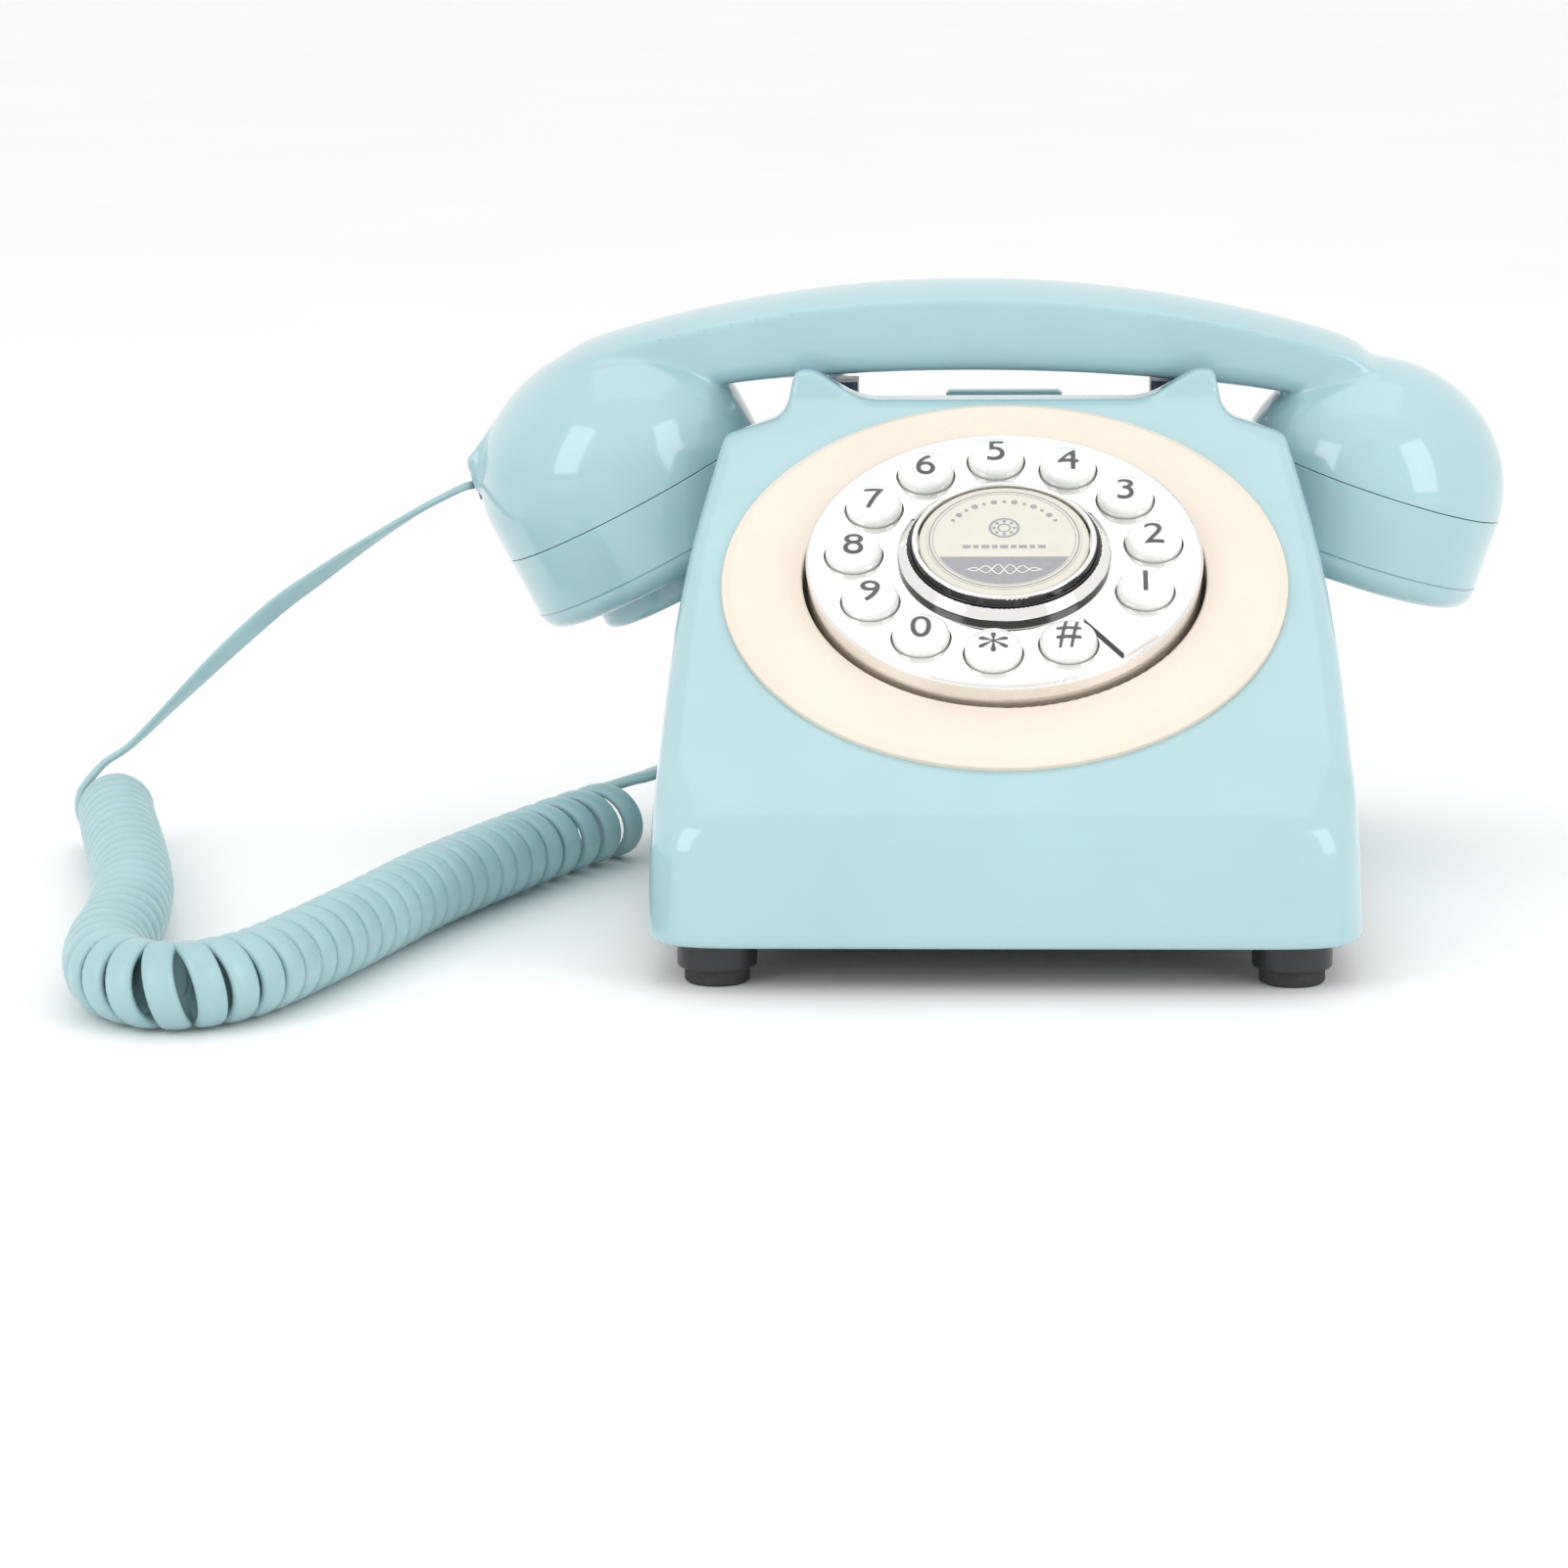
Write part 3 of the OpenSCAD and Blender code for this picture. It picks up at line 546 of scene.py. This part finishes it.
COIL_Z = COIL_D / 2 + 0.3
COIL_LINE = [(-198, 44), (-193, 22), (-185, -12), (-179, -42), (-176, -70), (-175, -94), (-170, -112),
             (-158, -120), (-146, -112), (-137, -92), (-128, -66), (-119, -38), (-110, -16), (-101, 4),
             (-94, 18), (-86, 32), (-82.5, 38)]
LEAD_LINE = [(-116.7, 50, 80.1), (-120, 50, 79.1), (-130, 51, 73.8), (-143, 53, 65.5), (-153, 55, 58.5),
             (-162, 56, 52), (-174, 56, 41.5), (-185, 54, 31), (-195, 51, 21.5), (-201, 48, 17.6)]
TAIL_LINE = [(-79.4, 40, 16.4), (-76.6, 43, 16.9), (-74.3, 44, 17)]


def coil_pitch(share):
    """Axis length of one turn: closed, tighter where the front bend fans out, loose at the end."""
    bend = smooth_step(share, 0.36, 0.45) * (1 - smooth_step(share, 0.52, 0.60))
    return 6.35 - 0.9 * bend + 1.9 * smooth_step(share, 0.84, 0.92) + 3 * smooth_step(share, 0.96, 1)


def coil():
    """Centres of the wound part and the direction of its axis at each of them."""
    axis = spline([(x, y, COIL_Z) for x, y in COIL_LINE], 0.25)
    reach = distance_along(axis)
    direction = np.gradient(axis, axis=0)
    direction /= np.linalg.norm(direction, axis=1)[:, None]
    turns = np.concatenate([[0], np.cumsum(np.diff(reach) / coil_pitch(reach[1:] / reach[-1]))])
    # it ends on top of the coil, where the plain end runs on to the plug
    whole = np.floor(turns[-1] + (COIL_START - pi / 2) / (2 * pi)) - (COIL_START - pi / 2) / (2 * pi)
    wound = np.linspace(0, whole, round(whole * TURN_STEPS))
    stops = np.interp(wound, turns, reach)
    centre, ahead = [
        np.array([np.interp(stops, reach, values[:, k]) for k in range(3)]).T for values in (axis, direction)
    ]
    outward = np.cross([0, 0, 1], ahead)
    outward /= np.linalg.norm(outward, axis=1)[:, None]
    upward = np.cross(ahead, outward)
    angle = COIL_START + 2 * pi * wound
    flare = 1.3 * (1 - smooth_step(wound, 0, 0.9)) * (1 + np.sin(angle)) / 2
    spoke = np.cos(angle)[:, None] * outward + np.sin(angle)[:, None] * upward
    return centre + ((COIL_D - RIBBON_T) / 2 + flare)[:, None] * spoke, ahead


def ribbon_outline():
    """A flat band with round edges, a little fuller in the middle."""
    angle = np.linspace(0, 2 * pi, 12, endpoint=False)
    across = np.sign(np.cos(angle)) * np.abs(np.cos(angle)) ** 0.75
    thick = np.sign(np.sin(angle)) * np.abs(np.sin(angle)) ** 0.9
    return np.array([across * RIBBON_W / 2, thick * RIBBON_T / 2]).T


def make_cord():
    wound, ahead = coil()
    lead = spline(LEAD_LINE + [tuple(wound[2]), tuple(wound[4])], 1.6)[:-4]
    tail = spline([tuple(wound[-3])] + TAIL_LINE, 1.6)[3:]
    centres = np.vstack([lead, wound[2:-3], tail])
    # the plain ends lie with their width level, and the long one twists upright half-way
    turn = LEAD_TWIST * np.sin(np.linspace(0, pi, len(lead))) ** 2
    lead_across = np.array([-0.66 * np.sin(turn), -np.cos(turn), 0.75 * np.sin(turn)]).T
    tail_across = np.tile([0.1, 1.0, 0.0], (len(tail), 1))
    across = np.vstack([lead_across, ahead[2:-3], tail_across])
    # a running mean turns the width gently where the three parts meet
    kernel = np.ones(9) / 9
    padded = np.pad(across, ((4, 4), (0, 0)), "edge")
    across = np.array([np.convolve(padded[:, k], kernel, "valid") for k in range(3)]).T
    past_lead = np.arange(len(centres)) - len(lead)
    thickness = LEAD_THINNED + (1 - LEAD_THINNED) * smooth_step(past_lead, -12, 12)
    cord = tube("cord", centres, across, ribbon_outline(), None, FINISHES["cord"], thickness)
    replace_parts(cord, "cord_lead", "cord_coil", "cord_tail")
    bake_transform(cord)


make_cord()

# ---------------------------------------------------------------- case


def case_outlines():
    """The side, front and rear outlines of the case, each run on below the foot."""
    face_rise = tan(FACE_SLOPE)
    half_d, half_w, deep = CASE_D / 2, CASE_W / 2, -30
    face_top = DIAL_Z + (24.9 - DIAL_Y) * face_rise
    face_foot = DIAL_Z + (-half_d - DIAL_Y) * face_rise
    side = Outline([(-half_d, deep, 0), (half_d, deep, 0), (half_d, 26, 12), (73.4, HORN_Z - 0.5, 2.4),
                    (67.4, HORN_Z - 0.5, 2.2), (61.5, TROUGH_Z, 6), (38.5, TROUGH_Z, 6), (32.8, HORN_Z, 2.2),
                    (27.4, HORN_Z, 2.2), (24.9, face_top, 4), (-half_d, face_foot, 11.5)])
    wall = [(half_w + 1.7, deep, 0), (half_w, FOOT_H, 0), (SIDE_X, SIDE_Z, 160)]
    horn = HORN_X + 2.3
    front = Outline(mirrored(wall + [(SHOULDER_X, SHOULDER_Z, 3), (horn, SHOULDER_Z + 3.3, 5),
                                     (HORN_X + 0.4, HORN_Z, 2.2), (HORN_X - 3.2, HORN_Z, 1.4),
                                     (30.6, FRONT_RIM_Z, 14)]))
    rear = Outline(mirrored(wall + [(SHOULDER_X, REAR_RIM_Z, 3), (NECK_X + 0.4, REAR_RIM_Z, 0.5),
                                    (NECK_X + 0.4, HORN_Z, 0.5), (NECK_X - 4.6, HORN_Z, 1.8),
                                    (31.5, REAR_RIM_Z, 8)]))
    return side, front, rear


CASE_SIDE, CASE_FRONT, CASE_REAR = case_outlines()


def edge_width(y, z):
    """How soft the case's edges are: full at the upright corners, crisp at the horns."""
    along = 2 + 4 * (1 - smooth_step(z, 91, 99)) + 5 * (1 - smooth_step(z, 50, 92))
    upright = np.maximum(smooth_step(-y, 72, 88), smooth_step(y, 66, 86)) * (1 - smooth_step(z, 62, 92))
    return along + (21 - along) * upright


def case_body(x, y, z):
    """The case as a solid block without its floor, openings or inside."""
    across = np.abs(x)
    to_rear = smooth_step(y, 42, 58)
    profile = CASE_FRONT(across, z) * (1 - to_rear) + CASE_REAR(across, z) * to_rear
    body = smooth_max(CASE_SIDE(y, z), profile, edge_width(y, z))
    round_part = np.hypot(across - SCOOP_X, y - CRADLE_Y) - SCOOP_R
    plan = np.minimum(round_part, np.maximum(NECK_X - across, CRADLE_Y - y))
    floor = (SHOULDER_FLOOR - (across - NECK_X) * FLOOR_FALL - z) / np.hypot(1, FLOOR_FALL)
    scoop = np.maximum(plan, smooth_max(NECK_X - across, floor, 30))
    return smooth_max(body, -scoop, 4)


def case_field(x, y, z):
    """The finished case: a wall all round, the dial's opening, the seats and the carrying ledge."""
    body = case_body(x, y, z)
    outside = smooth_min(body, block(x, y, z, LEDGE_LOW, LEDGE_HIGH, 1), 1.5)
    for middle, top in ((-SEAT_X, LEFT_SEAT_Z), (SEAT_X, RIGHT_SEAT_Z)):
        low = (middle - SEAT_W / 2, CRADLE_Y - 20, TROUGH_Z - 4)
        high = (middle + SEAT_W / 2, CRADLE_Y + 20, top)
        outside = smooth_min(outside, block(x, y, z, low, high, 1), 1.5)
    shell = smooth_max(outside, -(body + WALL), 0.8)
    shell = smooth_max(shell, FOOT_H - z, 2.6)
    c, s = cos(FACE_SLOPE), sin(FACE_SLOPE)
    up = (y - DIAL_Y) * c + (z - DIAL_Z) * s
    out = (z - DIAL_Z) * c - (y - DIAL_Y) * s
    opening = np.maximum(np.hypot(x, up) - OPENING_R, -12 - out)
    return np.maximum(shell, -opening)


def make_case():
    low, high = (-CASE_W / 2 - 3, -CASE_D / 2 - 3, FOOT_H - 3), (CASE_W / 2 + 3, CASE_D / 2 + 3, HORN_Z + 3)
    points, faces = net(case_field, low, high, FINE)
    points = settle(case_field, points, FINE)
    case = add_mesh("case", points, faces, None, FINISHES["case_plastic"])
    slots = [box_around((side * SLOT_X, CRADLE_Y, TROUGH_Z), (SLOT_W, SLOT_D, 20)) for side in (-1, 1)]
    jack_hole = box_around((-CASE_W / 2 + 1.5, JACK_Y, JACK_Z), (7, JACK_W, JACK_H))
    socket_hole = box_around((0, CASE_D / 2 - 1, SOCKET_Z), (SOCKET_W, 6, SOCKET_H))
    apply_cut(case, slots + [jack_hole, socket_hole])
    shade_from(case, case_field)
    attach(case, "base")
    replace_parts(case, "case_shell")


make_case()

# ---------------------------------------------------------------- handset


def end_frame(x, z, origin, tilt):
    """Across and along coordinates of one tilted end."""
    dx, dz = x - origin[0], z - origin[1]
    return dx * cos(tilt) - dz * sin(tilt), dx * sin(tilt) + dz * cos(tilt)


def dome(x, y, z, end):
    """A round end: straight below its centre and domed above."""
    across, along = end_frame(x, z, end["seam"], end["tilt"])
    above = np.maximum(along - end["centre"], 0)
    flat = across**2 + (y - CRADLE_Y) ** 2
    scaled = np.sqrt(flat / end["radius"] ** 2 + above**2 / end["rise"] ** 2)
    slope = np.sqrt(flat / end["radius"] ** 4 + above**2 / end["rise"] ** 4)
    return scaled * (scaled - 1) / np.maximum(slope, 1e-6)


def handset_field(x, y, z):
    """The handset's shell as one block, its round ends run on below their seams."""
    aside = np.abs(y - CRADLE_Y)
    top = np.hypot(x - GRIP_PEAK_X, z - GRIP_TOP + TOP_ARC_R) - TOP_ARC_R
    under = UNDER_ARC_R - np.hypot(x - GRIP_PEAK_X, z - GRIP_TOP + GRIP_T + UNDER_ARC_R)
    crown = (top + CROWN_DROP) * cos(CROWN_SLOPE) + (aside - GRIP_HALF) * sin(CROWN_SLOPE)
    # the sides lean in by 2 mm towards the underside
    side = aside - GRIP_HALF + 2 * np.clip(1 + under / 16, 0, 1)
    grip = smooth_max(smooth_max(top, crown, 6), side, 1.5)
    grip = smooth_max(smooth_max(grip, under, 6), np.abs(x - GRIP_PEAK_X) - GRIP_REACH, 14)
    across, along = end_frame(x, z, BOSS, BOSS_TILT)
    length = np.abs(across - BOSS_L / 2) - BOSS_L / 2
    boss = np.maximum(np.hypot(y - CRADLE_Y, along - BOSS_RISE) - BOSS_R, length)
    brow = (along - BOSS_BROW) * cos(BOSS_SLOPE) - across * sin(BOSS_SLOPE)
    boss = smooth_max(boss, brow, 1)
    body = smooth_min(smooth_min(grip, dome(x, y, z, MOUTH), 2.6), dome(x, y, z, EAR), 2.6)
    above_seam = np.where(x < 0, end_frame(x, z, MOUTH["seam"], MOUTH["tilt"])[1],
                          end_frame(x, z, EAR["seam"], EAR["tilt"])[1])
    below = np.where(np.abs(x) > DOMES_FROM_X, -above_seam - 4, -50)
    return np.maximum(smooth_min(body, boss, 3), below)


def cut_seam(obj, end):
    """Cuts one end of the handset flat at its seam."""
    mesh = bmesh.new()
    mesh.from_mesh(obj.data)
    side = np.sign(end["seam"][0])
    near = [f for f in mesh.faces if side * (f.calc_center_median().x / MM - CASE_X) > SEAMS_FROM_X]
    parts = set(near) | {e for f in near for e in f.edges} | {v for f in near for v in f.verts}
    seam = to_frame((end["seam"][0], CRADLE_Y, end["seam"][1]))
    up = Vector((sin(end["tilt"]), 0, cos(end["tilt"])))
    cut = bmesh.ops.bisect_plane(mesh, geom=list(parts), plane_co=Vector(seam), plane_no=up, clear_inner=True)
    rim = [e for e in cut["geom_cut"] if isinstance(e, bmesh.types.BMEdge)]
    bmesh.ops.edgeloop_fill(mesh, edges=rim)
    mesh.to_mesh(obj.data)
    mesh.free()


def make_handset():
    low, high = (-128, CRADLE_Y - 34, 58), (115, CRADLE_Y + 34, GRIP_TOP + 3)
    points, faces = net(handset_field, low, high, FINE)
    points = settle(handset_field, points, FINE)
    handset = add_mesh("handset", points, faces, None, FINISHES["handset_plastic"])
    cut_seam(handset, MOUTH)
    cut_seam(handset, EAR)
    hole = box_corners(PLUG_HOLE_LOW, PLUG_HOLE_HIGH)
    c, s = cos(BOSS_TILT), sin(BOSS_TILT)
    turned = [(BOSS[0] + x * c + z * s, CRADLE_Y + y, BOSS[1] - x * s + z * c) for x, y, z in hole]
    apply_cut(handset, [np.array(turned)])
    shade_from(handset, handset_field)
    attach(handset, "handset")
    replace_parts(handset, "handset_shell")


make_handset()

# ---------------------------------------------------------------- springs, label and digits


def make_spring(side):
    turns, radius, wire = 7, 3.5, 0.45
    angle = np.linspace(0, 2 * pi * turns, turns * 20)
    height = np.linspace(SPRING_LOW + wire, SPRING_HIGH - wire, len(angle))
    across = side * SPRING_X + radius * np.cos(angle)
    centres = np.array([across, CRADLE_Y + radius * np.sin(angle), height]).T
    ring = np.linspace(0, 2 * pi, 8, endpoint=False)
    outline = np.array([np.cos(ring), np.sin(ring)]).T * wire
    upright = np.tile([0.0, 0.0, 1.0], (len(centres), 1))
    name = "spring_left" if side < 0 else "spring_right"
    spring = tube(name, centres, upright, outline, None, FINISHES["steel"])
    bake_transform(spring)
    return spring


for side in (-1, 1):
    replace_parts(make_spring(side), "hook_springs")


def print_on(name, shapes, height, material):
    """Flat shapes, each a list of points across and up the dial face, as one print on the label."""
    points, faces = [], []
    for shape in shapes:
        faces.append(list(range(len(points), len(points) + len(shape))))
        points += [(u, v, height) for u, v in shape]
    printed = add_mesh(name, on_face(points), faces, "base", material, smooth=False)


def disc_shape(u, v, radius, sides=16):
    angles = [2 * pi * k / sides for k in range(sides)]
    return [(u + radius * cos(a), v + radius * sin(a)) for a in angles]


def band(line, width):
    """Four-sided pieces that follow a flat line."""
    line = np.array(line, float)
    along = np.gradient(line, axis=0)
    along /= np.linalg.norm(along, axis=1)[:, None]
    aside = np.array([-along[:, 1], along[:, 0]]).T * width / 2
    left = [tuple(point) for point in line + aside]
    right = [tuple(point) for point in line - aside]
    return [[right[i], right[i + 1], left[i + 1], left[i]] for i in range(len(line) - 1)]


def circle_line(u, v, radius, start=0.0, end=360.0):
    angles = np.radians(np.linspace(start, end, max(12, round((end - start) / 4))))
    return [(u + radius * cos(a), v + radius * sin(a)) for a in angles]


def make_label():
    """A made-up print: two rings, a rosette, an arc of dots, a row of bars and a dark foot with a twine."""
    lower = LABEL_TOP + 0.03
    upper = LABEL_TOP + 0.06
    ink = band(circle_line(0, 0, 15.2), 0.3) + band(circle_line(0, 0, 14.5), 0.12)
    for angle in range(30, 151, 10):
        dot = 0.42 if angle % 20 else 0.7
        ink.append(disc_shape(12 * cos(radians(angle)), 12 * sin(radians(angle)), dot))
    ink += band(circle_line(0, 3.6, 2.9), 0.5) + band(circle_line(0, 3.6, 1.2), 0.35)
    for k in range(8):
        angle = radians(45 * k)
        ink.append(disc_shape(2.05 * cos(angle), 3.6 + 2.05 * sin(angle), 0.4, 10))
    for k in range(-4, 5):
        bar = 0.55 if k % 2 else 0.8
        left, right = 1.9 * k - bar, 1.9 * k + bar
        ink.append([(left, -2.9), (right, -2.9), (right, -1.9), (left, -1.9)])
    print_on("label_ink", ink, lower, GREY_INK)
    dip = np.degrees(np.arcsin(5.6 / 14.2))
    segment = circle_line(0, 0, 14.2, 180 + dip, 360 - dip)
    print_on("label_segment", [segment], lower, GREY_INK)
    wave_u = np.linspace(-8, 8, 65)
    fade = 1.5 * np.cos(wave_u / 8 * pi / 2)
    strands = [list(zip(wave_u, -9.6 + sign * fade * np.sin(wave_u * 1.25))) for sign in (-1, 1)]
    print_on("label_border", band(strands[0], 0.22) + band(strands[1], 0.22), upper, PALE_INK)


make_label()


def key_surface(radius):
    """Height of a key's domed top, square to the dial face."""
    return KEY_TOP - KEY_DOME_R + np.sqrt(np.maximum(KEY_DOME_R**2 - radius**2, 0))


def make_digit(index):
    """The sign printed on one key, laid on its dome."""
    font = bpy.data.curves.new("digit", "FONT")
    font.body = KEYS[index]
    font.size = DIGIT_SIZE
    font.align_x = "CENTER"
    font.align_y = "CENTER"
    font.resolution_u = 6
    helper = bpy.data.objects.new("digit", font)
    bpy.context.scene.collection.objects.link(helper)
    flat = bpy.data.meshes.new_from_object(helper.evaluated_get(bpy.context.evaluated_depsgraph_get()))
    bpy.data.objects.remove(helper)
    mesh = bmesh.new()
    mesh.from_mesh(flat)
    bmesh.ops.triangulate(mesh, faces=mesh.faces)
    bmesh.ops.subdivide_edges(mesh, edges=mesh.edges, cuts=3, use_grid_fill=True)
    bmesh.ops.triangulate(mesh, faces=mesh.faces)
    places = np.array([v.co for v in mesh.verts], float).reshape(-1, 3)
    faces = [[v.index for v in f.verts] for f in mesh.faces]
    mesh.free()
    middle = (places[:, :2].max(0) + places[:, :2].min(0)) / 2
    widen, stretch = SIGN_STRETCH.get(KEYS[index], DIGIT_STRETCH)
    u = (places[:, 0] - middle[0]) * widen
    v = (places[:, 1] - middle[1]) * stretch - 0.2
    angle = radians(FIRST_KEY - index * KEY_PITCH)
    w = key_surface(np.hypot(u, v)) + 0.03
    points = np.array([u + KEY_CIRCLE_R * sin(angle), v + KEY_CIRCLE_R * cos(angle), w]).T
    digit = add_mesh("digit_" + KEY_NODES[index], on_face(points), faces, KEY_NODES[index], INK)


for index in range(len(KEYS)):
    make_digit(index)

# ---------------------------------------------------------------- finishes of the CAD pieces

NODE_FINISH = {
    "base_plate": "base_plastic", "base_screws": "steel",
    "foot_caps": "foot_plastic", "foot_pads": "foot_rubber",
    "dial_ring": "cream_plastic", "dial_disc": "chrome", "finger_stop": "chrome",
    "hub_ring": "chrome", "hub_cap": "cream_plastic", "hub_label": "label",
    "keypad_mat": "mat_rubber", "keypad_board": "board",
    "main_board": "board", "battery": "battery_wrap", "ballast": "steel_plate", "usb_socket": "steel",
    "hook_yoke": "hook_plastic", "hook_switch": "black_plastic", "base_jack": "black_plastic",
    "mouthpiece_cap": "handset_plastic", "mouth_disc": "handset_plastic", "earpiece_cap": "handset_plastic",
    "microphone": "capsule", "earphone": "capsule", "handset_jack": "black_plastic",
    "plug_base": "clear_plastic", "plug_handset": "clear_plastic",
}
NODE_FINISH.update({name: "key_plastic" for name in KEY_NODES})

for name, finish in NODE_FINISH.items():
    mesh = nodes[name].data
    mesh.materials.clear()
    mesh.materials.append(FINISHES[finish])


def second_finish(node, finish, choose):
    """Another finish for the faces that choose() picks by radius, height and how far they face outward."""
    obj = nodes[node]
    obj.data.materials.append(FINISHES[finish])
    turn = obj.matrix_world.to_3x3()
    middles = np.array([obj.matrix_world @ face.center for face in obj.data.polygons]) / MM
    middles = across_face(middles - np.array([CASE_X, DIAL_Y, DIAL_Z]))
    upward = across_face([turn @ face.normal for face in obj.data.polygons])[:, 2]
    chosen = choose(np.hypot(middles[:, 0], middles[:, 1]), middles[:, 2], upward)
    for face, is_chosen in zip(obj.data.polygons, chosen):
        if is_chosen:
            face.material_index = 1


def is_hub_painted_reflection(radius, height, _):
    """The ring's foot and the hollow step around its raised rim, where a dark reflection is painted on."""
    foot = (radius > HUB_R - 0.3) & (height < DISC_TOP + 1.1)
    step = (radius > HUB_R - 3.05) & (radius < HUB_R - 1.9)
    return foot | step


def is_wall_painted_reflection(radius, _, upward):
    """Walls that stand square to the dial, but not those at its rim, where a dark reflection is painted on.
    """
    return (radius < DISC_R - 2) & (np.abs(upward) < 0.5)


# the cap in the hub is as pale as its label
nodes["hub_cap"].data.materials[0] = FINISHES["label"]

# painted reflection: the faces chosen below are painted near-black in place of the dark reflections in the
# chrome
second_finish("hub_ring", "chrome_painted_reflection", is_hub_painted_reflection)
second_finish("dial_disc", "chrome_painted_reflection", is_wall_painted_reflection)
second_finish("finger_stop", "chrome_painted_reflection", is_wall_painted_reflection)
